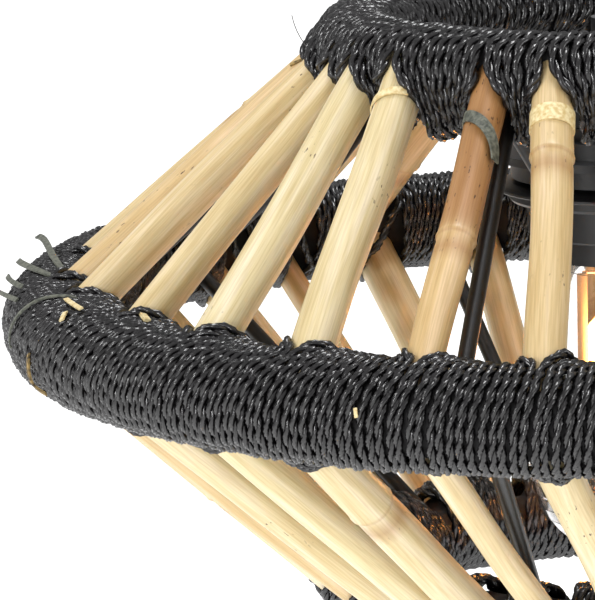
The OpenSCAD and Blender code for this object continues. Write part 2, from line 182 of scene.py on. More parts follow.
# Powder coat: a half-matt black. Its peel is about 1.1 mm across and its scuffs about 14 mm.
coat, coat_shader = new_material("powder-coated steel", Roughness=0.38)
coat_tree = coat.node_tree
coat_place = add(coat_tree, "ShaderNodeTexCoord")
peel = add(coat_tree, "ShaderNodeTexNoise", Vector=coat_place.outputs["Object"], Scale=900,
           Detail=2)
scuffs = add(coat_tree, "ShaderNodeTexNoise", Vector=coat_place.outputs["Object"], Scale=70,
             Detail=6)
coat_bump = add(coat_tree, "ShaderNodeBump", Strength=0.25, Distance=0.15 * MM,
                Height=peel.outputs["Fac"])
coat_tree.links.new(ramp(coat_tree, scuffs.outputs["Fac"], (0.35, "101012"), (0.75, "1d1d20")),
                    coat_shader.inputs["Base Color"])
coat_tree.links.new(coat_bump.outputs["Normal"], coat_shader.inputs["Normal"])


def finish_node(name, material):
    """Gives a CAD node its real finish."""
    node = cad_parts[name]
    node.data.materials.clear()
    node.data.materials.append(material)


for node_name in ("top_hoop", "middle_hoop", "bottom_hoop", "upper_struts", "lower_struts",
                  "hub_ring", "hub_arms"):
    finish_node(node_name, coat)


# Canes: sixty thin bamboo canes in two cones, each cut from a longer stem, so that some hold a
# joint with its raised ring. The skin is waxy and straw-coloured, with long fibres, grey freckles
# and a brown band under each joint. Their ends are bound under the cord.
def islands(node_name):
    """The separate solids in a CAD node, each as an array of its corners."""
    work = bmesh.new()
    work.from_mesh(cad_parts[node_name].data)
    bmesh.ops.remove_doubles(work, verts=work.verts, dist=0.01 * MM)
    left, found = set(work.verts), []
    while left:
        stack, group = [left.pop()], []
        while stack:
            v = stack.pop()
            group.append(v.co.copy())
            for edge in v.link_edges:
                other = edge.other_vert(v)
                if other in left:
                    left.remove(other)
                    stack.append(other)
        found.append(np.array([tuple(co) for co in group]))
    work.free()
    return sorted(found, key=lambda a: -math.atan2(-a[:, 0].mean(), -a[:, 1].mean()))


def axis_of(points):
    """A round bar's two end centres, its radius, and where its joint ring is, or None."""
    centre = points.mean(0)
    direction = np.linalg.svd(points - centre)[2][0]
    direction = direction if direction[2] > 0 else -direction
    along = (points - centre) @ direction
    ends = [points[along < along.min() + 0.02 * MM].mean(0),
            points[along > along.max() - 0.02 * MM].mean(0)]
    direction = (ends[1] - ends[0]) / np.linalg.norm(ends[1] - ends[0])
    offset = points - ends[0]
    along = offset @ direction
    out = np.linalg.norm(offset - np.outer(along, direction), axis=1)
    radius = np.median(out[(along < 0.1 * MM) & (out > 1 * MM)])
    ring = along[out > radius + 0.4 * MM]
    return ends, radius, (ring.mean() if len(ring) else None)


def square_to(direction):
    """Two unit vectors square to a direction and to each other."""
    side = np.cross(direction, (0, 0, 1))
    side /= np.linalg.norm(side)
    return side, np.cross(direction, side)


# Bamboo skin: a soft satin over fibres that are 0.4 mm wide, coarser than the real ones so that
# they show. Streaks are about 2.4 mm wide and freckles 0.9 mm, in patches of about 22 mm.
bamboo, bamboo_shader = new_material(
    "bamboo cane", Roughness=0.42, Subsurface_Weight=0.08, Subsurface_Scale=0.5,
    Subsurface_Radius=(0.004, 0.002, 0.001))
tree = bamboo.node_tree
cane_uv = add(tree, "ShaderNodeAttribute", {"attribute_name": "cane"})
from_joint = add(tree, "ShaderNodeAttribute", {"attribute_name": "joint"})
tone = add(tree, "ShaderNodeAttribute", {"attribute_name": "tone"})
fibre_place = add(tree, "ShaderNodeMapping", Vector=cane_uv.outputs["Vector"],
                  Scale=(1, 1, 0.03))
fibre = add(tree, "ShaderNodeTexNoise", Vector=fibre_place.outputs["Vector"], Scale=2600,
            Detail=3)
streak_place = add(tree, "ShaderNodeMapping", Vector=cane_uv.outputs["Vector"],
                   Scale=(1, 1, 0.06))
streak = add(tree, "ShaderNodeTexNoise", Vector=streak_place.outputs["Vector"], Scale=420,
             Detail=4)
freckle_place = add(tree, "ShaderNodeMapping", Vector=cane_uv.outputs["Vector"],
                    Scale=(1, 1, 0.4))
freckle = add(tree, "ShaderNodeTexNoise", Vector=freckle_place.outputs["Vector"], Scale=1100,
              Detail=2)
patch = add(tree, "ShaderNodeTexNoise", Vector=cane_uv.outputs["Vector"], Scale=45, Detail=3)
base = ramp(tree, streak.outputs["Fac"], (0.3, "d2be8c"), (0.5, "e0d0a4"), (0.68, "ecdfc0"))
fine = ramp(tree, fibre.outputs["Fac"], (0.35, "cfc3ae"), (0.6, "ffffff"))
with_fibre = add(tree, "ShaderNodeMix", {"data_type": "RGBA", "blend_type": "MULTIPLY"},
                 _0=0.42, _6=base, _7=fine)
warm = add(tree, "ShaderNodeMix", {"data_type": "RGBA", "blend_type": "MULTIPLY"},
           _0=tone.outputs["Fac"], _6=with_fibre.outputs[2], _7=colour("e2b67c"))
freckled = add(tree, "ShaderNodeMapRange", Value=freckle.outputs["Fac"], From_Min=0.66,
               From_Max=0.71)
freckled_here = add(tree, "ShaderNodeMapRange", Value=patch.outputs["Fac"], From_Min=0.57,
                    From_Max=0.66)
spotted_here = add(tree, "ShaderNodeMath", {"operation": "MAXIMUM"},
                   _0=freckled_here.outputs[0], _1=from_joint.outputs["Fac"])
freckle_amount = add(tree, "ShaderNodeMath", {"operation": "MULTIPLY"},
                     _0=freckled.outputs[0], _1=spotted_here.outputs[0])
spotted = add(tree, "ShaderNodeMix", {"data_type": "RGBA"}, _0=freckle_amount.outputs[0],
              _6=warm.outputs[2], _7=colour("5b4331"))
band = add(tree, "ShaderNodeMapRange", Value=from_joint.outputs["Fac"], From_Min=0,
           From_Max=1)
banded = add(tree, "ShaderNodeMix", {"data_type": "RGBA", "blend_type": "MULTIPLY"},
             _0=band.outputs[0], _6=spotted.outputs[2], _7=colour("c3a288"))
tree.links.new(banded.outputs[2], bamboo_shader.inputs["Base Color"])
cane_bump = add(tree, "ShaderNodeBump", Strength=0.35, Distance=0.12 * MM,
                Height=fibre.outputs["Fac"])
tree.links.new(cane_bump.outputs["Normal"], bamboo_shader.inputs["Normal"])

CANE_SIDES = 20
CANE_RINGS = 44
JOINT_RINGS = np.array([-5, -3, -1.6, -0.8, -0.2, 0.3, 0.9, 1.6, 2.6, 4]) * MM
CANE_BOW, CANE_DRIFT = 0.35 * MM, 0.25 * MM
DRIFT_LENGTH, GIRTH_LENGTH = 70 * MM, 50 * MM
RIDGE, WAIST = 0.26 * MM, 0.12 * MM  # at a joint: its raised ring, and the dip under that
cane_rng = np.random.default_rng(11)


def cane_mesh(ends, radius, joint_at, reach, tone_value, brown_above):
    """Rings of corners along one cane, with its slight bow, its flats and its joint. Each corner
    also gets its place on the cane's skin, how dark its joint makes it, and the cane's tone."""
    low, high = ends
    length = np.linalg.norm(high - low)
    direction = (high - low) / length
    low, high = low - direction * reach[0], high + direction * reach[1]
    side, up = square_to(direction)
    share = np.linspace(0, 1, CANE_RINGS)
    place = share * (length + sum(reach))
    if joint_at is not None:
        joint_at = joint_at + reach[0]
        clear = np.abs(place - joint_at) > 3 * MM
        place = np.sort(np.concatenate([place[clear], joint_at + JOINT_RINGS]))
    phase = cane_rng.uniform(0, 2 * math.pi, 6)
    bow = CANE_BOW * np.sin(math.pi * place / place[-1])
    drift = CANE_DRIFT * np.sin(2 * math.pi * place / DRIFT_LENGTH + phase[0])
    turn = np.linspace(0, 2 * math.pi, CANE_SIDES, endpoint=False)
    bow_side = math.cos(phase[1]) * side + math.sin(phase[1]) * up
    centre = low + np.outer(place, direction) + np.outer(bow, bow_side) + np.outer(drift, side)
    oval = 1 + 0.02 * np.cos(2 * turn + phase[2]) + 0.012 * np.cos(3 * turn + phase[3])
    girth = np.full(len(place), radius)
    girth *= 1 + 0.012 * np.sin(2 * math.pi * place / GIRTH_LENGTH + phase[4])
    dark = np.zeros(len(place))
    if joint_at is not None:
        d = (place - joint_at) / MM
        girth += RIDGE * np.exp(-((d - 0.2) / 0.8) ** 2)
        girth -= WAIST * np.exp(-((d + 1.5) / 0.9) ** 2)
        girth *= 1 + 0.03 * (d > 0) * np.exp(-np.maximum(d, 0) / 14)
        dark = 0.6 * np.clip(1.1 - np.abs(d + 4.5) / 4.2, 0, 1) + 0.5 * np.exp(-(d / 0.5) ** 2)
        dark = np.maximum(dark, brown_above * (d > 0) * (1 - np.exp(-np.maximum(d, 0) / 2)))
    ring = np.outer(np.cos(turn) * oval, side) + np.outer(np.sin(turn) * oval, up)
    corners = centre[:, None, :] + girth[:, None, None] * ring[None]
    rings = len(place)
    uv = np.zeros((rings, CANE_SIDES, 3))
    uv[..., 0] = radius * np.cos(turn) + phase[5]
    uv[..., 1] = radius * np.sin(turn)
    uv[..., 2] = place[:, None] + phase[0]
    shades = np.repeat(dark[:, None], CANE_SIDES, 1)
    return corners, uv, shades, np.full((rings, CANE_SIDES), tone_value)


def tube_faces(rings, sides, start):
    """Quads and end caps over rings of corners, the first of them numbered start."""
    i = np.arange(rings - 1)[:, None] * sides
    j = np.arange(sides)[None]
    k = (j + 1) % sides
    quads = np.stack([i + j, i + k, i + sides + k, i + sides + j], -1).reshape(-1, 4) + start
    cap = start + np.arange(sides)
    return quads.tolist() + [list(cap[::-1]), list((rings - 1) * sides + cap)]


def point_attribute(piece, name, kind, values):
    """Stores one value for each corner of a piece, for its material to read."""
    layer = piece.data.attributes.new(name, kind, "POINT")
    layer.data.foreach_set("vector" if kind == "FLOAT_VECTOR" else "value", np.ravel(values))


CANE_REACH = {"upper": (5 * MM, 9 * MM), "lower": (6 * MM, 5 * MM)}  # low and high end, inside
canes = {}  # node name: list of (ends, radius, joint place)
# How warm each cane of a node is, how far a cane's joint is moved along it, and how brown a cane
# is above its joint. Canes are numbered within their node.
CANE_TONES = {"upper_canes_01": (0.05, 0.5, 0.35), "lower_canes_01": (0.1, 0.2, 0.1)}
JOINT_MOVED = {("upper_canes_01", 2): -3.2 * MM}
BROWN_CANES = {("upper_canes_01", 1): 0.9, ("upper_canes_02", 2): 0.4, ("lower_canes_01", 1): 0.5}
for node_name in sorted(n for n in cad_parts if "_canes_" in n):
    corners, faces, uv, dark, tones = [], [], [], [], []
    count = 0
    reach = CANE_REACH[node_name.split("_")[0]]
    canes[node_name] = [axis_of(points) for points in islands(node_name)]
    for number, (ends, radius, joint_at) in enumerate(canes[node_name]):
        joint_at = joint_at and joint_at + JOINT_MOVED.get((node_name, number), 0)
        tone_value = CANE_TONES.get(node_name, cane_rng.uniform(0, 0.45, 3))[number]
        brown_above = BROWN_CANES.get((node_name, number), 0)
        parts = cane_mesh(ends, radius, joint_at, reach, tone_value, brown_above)
        faces += tube_faces(parts[0].shape[0], CANE_SIDES, count)
        count += parts[0].shape[0] * CANE_SIDES
        for store, part in zip((corners, uv, dark, tones), parts):
            store.append(part.reshape(-1, part.shape[-1]) if part.ndim == 3 else part.reshape(-1))
    piece = mesh_piece(node_name.replace("canes", "bamboo"), np.concatenate(corners), faces, bamboo)
    point_attribute(piece, "cane", "FLOAT_VECTOR", np.concatenate(uv))
    point_attribute(piece, "joint", "FLOAT", np.clip(np.concatenate(dark), 0, 1))
    point_attribute(piece, "tone", "FLOAT", np.concatenate(tones))
    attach(piece, "lamp")
    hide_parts(node_name)


# Cord bindings: one long two-ply cord of glossy black filament, wound tightly round each hoop
# over the cane ends. Turns part in a V round every cane and bunch up between canes. Filaments are
# drawn 16 to a ply's round, as the real ones are too fine to show, and give each ply a sheen.
cord_material, cord_shader = new_material("twisted polyester cord", Roughness=0.24,
                                          Specular_IOR_Level=0.7)
cord_tree = cord_material.node_tree
cord_place = add(cord_tree, "ShaderNodeAttribute", {"attribute_name": "strand"})
filament_place = add(cord_tree, "ShaderNodeMapping", Vector=cord_place.outputs["Vector"],
                     Scale=(16, 0.7, 1))
filaments = add(cord_tree, "ShaderNodeTexNoise", Vector=filament_place.outputs["Vector"],
                Scale=1, Detail=2)
cord_tree.links.new(ramp(cord_tree, filaments.outputs["Fac"], (0.32, "080708"), (0.68, "1f1d1f")),
                    cord_shader.inputs["Base Color"])
cord_bump = add(cord_tree, "ShaderNodeBump", Strength=0.18, Distance=0.1 * MM,
                Height=filaments.outputs["Fac"])
cord_tree.links.new(cord_bump.outputs["Normal"], cord_shader.inputs["Normal"])

PLY_OFFSET = 0.6  # of a ply's radius, either side of the cord's middle


def cord_tree_of(name, ply_sides):
    """Geometry Nodes: sweeps a two-ply section along a wound path and twists it as it goes."""
    group = bpy.data.node_groups.new(name, "GeometryNodeTree")
    for label, kind in (("Path", "NodeSocketGeometry"), ("Ply radius", "NodeSocketFloat"),
                        ("Lay length", "NodeSocketFloat"), ("Material", "NodeSocketMaterial")):
        group.interface.new_socket(label, in_out="INPUT", socket_type=kind)
    group.interface.new_socket("Cord", in_out="OUTPUT", socket_type="NodeSocketGeometry")
    given = add(group, "NodeGroupInput")
    curve = add(group, "GeometryNodeMeshToCurve", Mesh=given.outputs["Path"])
    spline = add(group, "GeometryNodeSplineParameter")
    lays = add(group, "ShaderNodeMath", {"operation": "DIVIDE"}, _0=spline.outputs["Length"],
               _1=given.outputs["Lay length"])
    twist = add(group, "ShaderNodeMath", {"operation": "MULTIPLY"}, _0=lays.outputs[0],
                _1=2 * math.pi)
    twisted = add(group, "GeometryNodeSetCurveTilt", Curve=curve.outputs[0], Tilt=twist.outputs[0])
    kept = add(group, "GeometryNodeStoreNamedAttribute", {"data_type": "FLOAT"},
               _0=twisted.outputs[0], Name="lays", Value=lays.outputs[0])
    ply = add(group, "GeometryNodeCurvePrimitiveCircle", Resolution=ply_sides,
              Radius=given.outputs["Ply radius"])
    join = add(group, "GeometryNodeJoinGeometry")
    for sign in (-1, 1):
        shift = add(group, "ShaderNodeMath", {"operation": "MULTIPLY"},
                    _0=given.outputs["Ply radius"], _1=PLY_OFFSET * sign)
        offset = add(group, "ShaderNodeCombineXYZ", X=shift.outputs[0])
        moved = add(group, "GeometryNodeTransform", Geometry=ply.outputs[0],
                    Translation=offset.outputs[0])
        group.links.new(moved.outputs[0], join.inputs[0])
    round_ply = add(group, "GeometryNodeSplineParameter")
    profile = add(group, "GeometryNodeStoreNamedAttribute", {"data_type": "FLOAT"},
                  _0=join.outputs[0], Name="round", Value=round_ply.outputs["Factor"])
    cord = add(group, "GeometryNodeCurveToMesh", Curve=kept.outputs[0],
               Profile_Curve=profile.outputs[0], Fill_Caps=True)
    lays_now = add(group, "GeometryNodeInputNamedAttribute", {"data_type": "FLOAT"}, Name="lays")
    round_now = add(group, "GeometryNodeInputNamedAttribute", {"data_type": "FLOAT"}, Name="round")
    strand = add(group, "ShaderNodeCombineXYZ", X=round_now.outputs[0], Y=lays_now.outputs[0])
    marked = add(group, "GeometryNodeStoreNamedAttribute", {"data_type": "FLOAT_VECTOR"},
                 _0=cord.outputs[0], Name="strand", Value=strand.outputs[0])
    smooth = add(group, "GeometryNodeSetShadeSmooth", Geometry=marked.outputs[0])
    real = add(group, "GeometryNodeRealizeInstances", Geometry=smooth.outputs[0])
    painted = add(group, "GeometryNodeSetMaterial", Geometry=real.outputs[0],
                  Material=given.outputs["Material"])
    result = add(group, "NodeGroupOutput")
    group.links.new(painted.outputs[0], result.inputs[0])
    return group


def swept_cord(name, path, ply_radius, lay, group):
    """A plain mesh of the cord that follows the points of a path."""
    mesh = bpy.data.meshes.new(name)
    mesh.from_pydata([tuple(p) for p in path], [(i, i + 1) for i in range(len(path) - 1)], [])
    carrier = bpy.data.objects.new(name + "_path", mesh)
    scene.collection.objects.link(carrier)
    modifier = carrier.modifiers.new("cord", "NODES")
    modifier.node_group = group
    sockets = {i.name: i.identifier for i in group.interface.items_tree if i.in_out == "INPUT"}
    modifier[sockets["Ply radius"]] = ply_radius
    modifier[sockets["Lay length"]] = lay
    modifier[sockets["Material"]] = cord_material
    depsgraph = bpy.context.evaluated_depsgraph_get()
    plain = bpy.data.meshes.new_from_object(carrier.evaluated_get(depsgraph))
    plain.name = name
    bpy.data.objects.remove(carrier)
    piece = bpy.data.objects.new(name, plain)
    scene.collection.objects.link(piece)
    return piece


def mouths(name_part, at_top, cone_angle, side):
    """The canes of one cone where they enter a hoop, in order of azimuth. cone_angle is the
    canes' way out of the hoop in its section, and side picks the cone's outer side."""
    found = []
    reach = CANE_REACH[name_part][1 if at_top else 0]
    for node_name, items in canes.items():
        if name_part not in node_name:
            continue
        for ends, radius, joint_at in items:
            near, far = (ends[1], ends[0]) if at_top else (ends[0], ends[1])
            along = (far - near) / np.linalg.norm(far - near)
            leave = near + along * 4 * MM
            azimuth = math.atan2(leave[0], -leave[1])
            normal_angle = cone_angle + side * math.pi / 2
            radial = np.array((math.sin(azimuth), -math.cos(azimuth), 0))
            normal = radial * math.cos(normal_angle) + np.array((0, 0, math.sin(normal_angle)))
            normal -= along * np.dot(normal, along)
            normal /= np.linalg.norm(normal)
            across = np.cross(along, normal)
            across *= np.sign(across @ (math.cos(azimuth), math.sin(azimuth), 0))
            found.append((azimuth, radius, near - along * reach, along, normal, across))
    found.sort(key=lambda item: item[0])
    return [np.array([item[i] for item in found]) for i in range(6)]


WANDER = 0.1  # of the space between turns
SWELL = 0.15 * MM
TURN_NEST = 0.22  # every other turn sags this much more, so that they lie in two layers
SAG_WIDTH = 32  # degrees


def wound_path(hoop_r, hoop_z, tube_r, cord_r, turns, steps, seed, slant, cones):
    """Points of a cord wound round a hoop and round the canes of each cone that goes into it.
    Of a cone's values, split is where the turns part, in cane radii left of a cane's axis.
    droop is how far a turn sags along the cane that it crosses, and sag_at is where. tuck is how
    far the turns left of a cane lean over it, in cord radii. hold is how far round the inner
    side a turn stays put, and part is how far round the outer side it starts to move. Angles
    are in degrees from the way that the canes go."""
    rng = np.random.default_rng(seed)
    t = np.arange(int(turns * steps) + 1) / steps
    angle = 2 * math.pi * t
    pitch = 2 * math.pi / turns
    knots = np.arange(-2, turns + 3)
    jitter, lift = rng.uniform(-1.5, 1.5, (2, len(knots)))

    def plain_azimuth(at):
        rise = np.sin(2 * math.pi * at)
        lean = slant * (np.clip(rise, 0, 1) ** 1.4 + 0.3 * np.clip(rise, -1, 0))
        return (at + WANDER * np.interp(at, knots, jitter)) * pitch - math.pi + lean / hoop_r

    swell = sum(SWELL / n * np.sin(n * 9 * t * pitch + rng.uniform(0, 6)) for n in (1, 2, 3))
    radius = tube_r - cord_r * 1.1 + 0.1 * cord_r * np.interp(t, knots, lift) + swell
    base = plain_azimuth(t)
    moves, weights, pushes = [], [], []
    for cone in cones:
        centre, cane_r, start, along, normal, across = cone["mouths"]
        cone_angle, side, split = cone["angle"], cone["side"], cone["split"]
        hold, part = cone["hold"], cone["part"]
        turn = np.floor((angle - cone_angle) / (2 * math.pi) + 0.5)
        beta = side * np.degrees(angle - cone_angle - 2 * math.pi * turn)
        lane = plain_azimuth(turn + (cone_angle + side * math.radians(70)) / (2 * math.pi))
        place = (lane + math.pi) % (2 * math.pi) - math.pi
        local_r = hoop_r + tube_r * math.cos(cone_angle)
        count = len(centre)
        parted = centre - split * cane_r / local_r
        after = np.searchsorted(parted, place)
        left, right = (after - 1) % count, after % count
        low = np.where(after == 0, parted[-1] - 2 * math.pi, parted[left])
        high = np.where(after == count, parted[0] + 2 * math.pi, parted[right])
        share = (place - low) / (high - low)
        first = low + ((1 + split) * cane_r[left] + 1.05 * cord_r) / local_r
        closer = cone["tuck"] * np.clip((beta - 12) / 35, 0, 1) - 0.2
        last = high - ((1 - split) * cane_r[right] - closer * cord_r) / local_r
        target = lane - place + first + share * np.maximum(last - first, 0)
        enter = np.clip((part - beta) / part, 0, 1)
        leave = np.clip((beta + hold) / (0.6 * hold), 0, 1)
        weight = np.where(beta > -0.4 * hold, enter ** 1.1, leave * leave * (3 - 2 * leave))
        moves.append(weight * (target - base))
        weights.append(weight)
        hang = np.exp(-((beta - cone["sag_at"]) / SAG_WIDTH) ** 2)
        nest = np.clip(1 - share, 0, 1) ** 1.3 + TURN_NEST * (turn % 2)
        radius = radius + cone["droop"] * hang * nest
        pushes.append((left, right, cane_r, start, along, normal, across, beta))
    azimuth = base + sum(moves) / np.maximum(sum(weights), 1)
    r = hoop_r + radius * np.cos(angle)
    z = hoop_z + radius * np.sin(angle)
    path = np.stack([r * np.sin(azimuth), -r * np.cos(azimuth), z], -1)
    for left, right, cane_r, start, along, normal, across, beta in pushes:
        for index in (left, right):
            off = path - start[index]
            s, n, y = ((off * axis[index]).sum(-1) for axis in (along, normal, across))
            room = (cane_r[index] + 0.95 * cord_r) ** 2 - y ** 2
            height = np.sqrt(np.maximum(room, 0))
            needed = np.where(beta > 4, np.maximum(n, height), np.minimum(n, -height))
            held = (room > 0) & (s > -1 * MM)
            path = path + np.where(held, needed - n, 0)[:, None] * normal[index]
    for axis in range(3):
        path[1:-1, axis] = np.convolve(path[:, axis], (0.2, 0.6, 0.2), "valid")
    return path


# Packed inner turns, seen only in the gaps between the turns that show. They are out of the light,
# so they get painted gap shade: a dull dark grey that stands in for the shade in those gaps, in
# place of the cord's own gloss.
gap_shade_material = new_material("inner cord in painted gap shade", Base_Color=colour("242324"), Roughness=0.9)[0]
two_ply = cord_tree_of("two-ply cord", 6)


def binding_core(name, hoop_r, hoop_z, core_r, cones):
    """The inner turns of a binding, under the turns that show. They dip where a cane goes in."""
    round_hoop, round_tube = 480, 32
    dip_width, dip_reach, dip_depth = 1.3, math.radians(75), 0.55
    a = np.linspace(0, 2 * math.pi, round_hoop, endpoint=False)[:, None]
    b = np.linspace(0, 2 * math.pi, round_tube, endpoint=False)[None]
    full_r = core_r
    for cone in cones:
        azimuths, cane_r = cone["mouths"][:2]
        away = (b - cone["angle"] + math.pi) % (2 * math.pi) - math.pi
        for azimuth, width in zip(azimuths, cane_r):
            beside = ((a - azimuth + math.pi) % (2 * math.pi) - math.pi) * hoop_r / width
            dip = np.exp(-(beside / dip_width) ** 4 - (away / dip_reach) ** 4)
            core_r = np.minimum(core_r, full_r * (1 - dip_depth * dip))
    r = hoop_r + core_r * np.cos(b)
    points = np.stack([r * np.sin(a), -r * np.cos(a), hoop_z + core_r * np.sin(b) + 0 * a], -1)
    i = np.arange(round_hoop)[:, None]
    j = np.arange(round_tube)[None]
    ii, jj = (i + 1) % round_hoop, (j + 1) % round_tube
    quads = np.stack([i * round_tube + j, ii * round_tube + j, ii * round_tube + jj,
                      i * round_tube + jj], -1).reshape(-1, 4)
    return mesh_piece(name, points.reshape(-1, 3), quads.tolist(), gap_shade_material)


top_low, top_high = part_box("top_binding")
end_low, end_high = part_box("bottom_binding")
top_tube, top_z = (top_high.z - top_low.z) / 2, (top_high.z + top_low.z) / 2
end_tube, end_z = (end_high.z - end_low.z) / 2, (end_high.z + end_low.z) / 2
top_r, end_r = top_high.y - top_tube, end_high.y - end_tube
upper_fall = math.atan2(top_z - mid_z, mid_r - top_r)
lower_fall = math.atan2(mid_z - end_z, mid_r - end_r)


def cone_at(name_part, at_top, angle, side, **winding):
    """The canes of one cone where they enter a hoop, and how the cord goes round them."""
    return {"mouths": mouths(name_part, at_top, angle, side), "angle": angle, "side": side,
            **winding}


PLY_STEPS = 64
PLY_SHARE = 0.68  # a ply's radius, of the cord's
LAY = 8  # cord radii for one twist of the plies
CORE_DEPTH = 1.9  # cord radii under the surface
BINDINGS = {  # node: (hoop radius, height, tube radius, cord radius, turns, lengths, slant, cones)
    "top_binding": (top_r, top_z, top_tube, 1.34 * MM, 172, 2, 3 * MM, [
        cone_at("upper", True, -upper_fall, 1, split=0.95, droop=4.4 * MM, sag_at=-30, tuck=4.2,
                hold=150, part=96)]),
    "middle_binding": (mid_r, mid_z, mid_tube, 1.18 * MM, 400, 4, 2 * MM, [
        cone_at("upper", False, math.pi - upper_fall, -1, split=0.2, droop=3.5 * MM, sag_at=-4,
                tuck=1, hold=78, part=46),
        cone_at("lower", True, lower_fall - math.pi, 1, split=0.5, droop=1.5 * MM, sag_at=-18,
                tuck=1, hold=78, part=46)]),
    "bottom_binding": (end_r, end_z, end_tube, 1.3 * MM, 172, 2, 3 * MM, [
        cone_at("lower", False, lower_fall, -1, split=0.5, droop=2.5 * MM, sag_at=-18, tuck=2,
                hold=150, part=70)]),
}
for seed, (node_name, settings) in enumerate(BINDINGS.items()):
    hoop_r, hoop_z, tube_r, cord_r, turns, lengths, slant, cones = settings
    path = wound_path(hoop_r, hoop_z, tube_r, cord_r, turns, PLY_STEPS, seed + 3, slant, cones)
    stretch = (len(path) - 1) // lengths
    short_name = node_name.replace("binding", "cord")
    for q in range(lengths):
        part = path[q * stretch:(q + 1) * stretch + 1]
        piece = swept_cord(f"{short_name}_{q + 1}", part, cord_r * PLY_SHARE, LAY * cord_r,
                           two_ply)
        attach(piece, "lamp")
        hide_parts(node_name)
    core = binding_core(short_name + "_core", hoop_r, hoop_z, tube_r - CORE_DEPTH * cord_r, cones)
    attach(core, "lamp")


# Loose ends: strips of grey raffia caught under the cord, chips and ties of straw left from the
# canes, and stray fibres. They are held by the turns that cross them.
def dry_fibre(name, dark, pale, roughness):
    """A dull plant fibre, streaked along its length."""
    material, shader = new_material(name, Roughness=roughness)
    t = material.node_tree
    where = add(t, "ShaderNodeTexCoord")
    streaks = add(t, "ShaderNodeTexNoise", Vector=where.outputs["Object"], Scale=900, Detail=3)
    t.links.new(ramp(t, streaks.outputs["Fac"], (0.35, dark), (0.65, pale)),
                shader.inputs["Base Color"])
    return material


FIBRES = {"raffia": (dry_fibre("grey raffia", "3f423a", "6f7164", 0.6), "cane"),
          "straw": (dry_fibre("split straw", "cdb277", "efdfb0", 0.5), "cane"),
          "bark": (dry_fibre("brown bast fibre", "3a2f1c", "a58a55", 0.8), "cane"),
          "fibre": (dry_fibre("loose filament", "141213", "3a3533", 0.4), "cord")}


def swept(name, points, normals, section, kind):
    """Sweeps a closed section, given clockwise as (side, outwards), along points."""
    material, slot_name = FIBRES[kind]
    tangents = np.gradient(points, axis=0)
    tangents /= np.linalg.norm(tangents, axis=1)[:, None]
    sides = np.cross(tangents, normals)
    sides /= np.linalg.norm(sides, axis=1)[:, None]
    outward = np.cross(sides, tangents)
    u, v = np.transpose(section)
    corners = points[:, None] + u[:, None] * sides[:, None] + v[:, None] * outward[:, None]
    faces = tube_faces(len(points), len(section), 0)
    piece = mesh_piece(name, corners.reshape(-1, 3), faces, material, smooth=False)
    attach(piece, "lamp")


def section_of(width, thickness):
    """A flat section, or a round one where the thickness is the width."""
    if width == thickness:
        turn = np.linspace(0, 2 * math.pi, 6, endpoint=False)
        return np.stack([np.cos(turn), -np.sin(turn)], -1) * width / 2
    return np.array([(-1, 1), (1, 1), (1, -1), (-1, -1)]) * (width / 2, thickness / 2)


def through(places, steps=8):
    """A smooth run of values through a few given ones."""
    knots = np.arange(len(places))
    fine = np.linspace(0, len(places) - 1, steps * (len(places) - 1) + 1)
    degree = min(3, len(places) - 1)
    return [np.polyval(np.polyfit(knots, column, degree), fine) for column in np.transpose(places)]


ON_HOOPS = [  # name, node, kind, width, thickness, (azimuth, angle round the hoop, lift) in mm
    ("raffia_end_1", "middle_binding", "raffia", 1.7, 0.5,
     [(-83, 112, -0.8), (-88, 94, 0.4), (-95, 76, 2), (-100.2, 57, 4.3)]),
    ("raffia_end_2", "middle_binding", "raffia", 1.6, 0.5,
     [(-82, 92, -0.6), (-86, 70, 0.6), (-94, 46, 2.4)]),
    ("raffia_end_3", "middle_binding", "raffia", 1.3, 0.5,
     [(-82, 54, -0.6), (-86, 44, 0.6), (-91, 35, 2)]),
    ("raffia_end_4", "middle_binding", "raffia", 1.2, 0.5,
     [(-79, 42, -0.6), (-84, 32, 0.5), (-88, 24, 1.8)]),
    ("raffia_strip", "middle_binding", "raffia", 1.2, 0.4,
     [(-74.3, -4, -0.4), (-73.7, 14, 0.4), (-72.8, 34, 0.5), (-71.7, 56, 0.5), (-70.2, 76, 0.4),
      (-69, 96, -0.4)]),
    ("straw_chip_1", "middle_binding", "straw", 1.2, 0.4, [(-67.8, 79.7, 0.4), (-61.8, 73.8, 0.9)]),
    ("straw_chip_2", "middle_binding", "straw", 1.3, 0.4, [(-63.8, 63.7, 0.3), (-62.4, 52.3, 0.6)]),
    ("straw_chip_3", "middle_binding", "straw", 1.6, 0.8, [(-57, 118, 1.4), (-55.5, 110, 1.2),
                                                         (-53.5, 104, 0.3)]),
    ("straw_chip_4", "middle_binding", "straw", 0.8, 0.4, [(-22.7, 17.2, 0.3), (-22.5, 8, 0.5)]),
    ("bast_strip", "middle_binding", "bark", 1.6, 0.5,
     [(-67, 4, -0.3), (-66.5, -9.6, 0.5), (-66.5, -21, 0.6), (-66.6, -31, 0.5),
      (-65.7, -41, -0.2)]),
    ("stray_hair_1", "top_binding", "fibre", 0.22, 0.22,
     [(-72.6, -1, -0.2), (-82, 6, 0.6), (-91.9, 25, 5.9)]),
    ("stray_hair_2", "top_binding", "fibre", 0.3, 0.3, [(-54.5, -24.8, 2), (-57.2, -20.3, 3.4)]),
    ("stray_hair_3", "top_binding", "fibre", 0.3, 0.3,
     [(-55.1, -36.9, 1.4), (-58.4, -38.5, 2.4), (-60.7, -34.7, 3.6)]),
    ("stray_strip_1", "top_binding", "raffia", 1.0, 0.4,
     [(-82.5, -27.6, 0.2), (-82.3, -31.2, 6.4), (-77.1, -31.7, 14)]),
    ("stray_strip_2", "top_binding", "bark", 0.8, 0.5, [(-85.2, -8.9, 0.4), (-85.8, -12.8, 5)]),
]
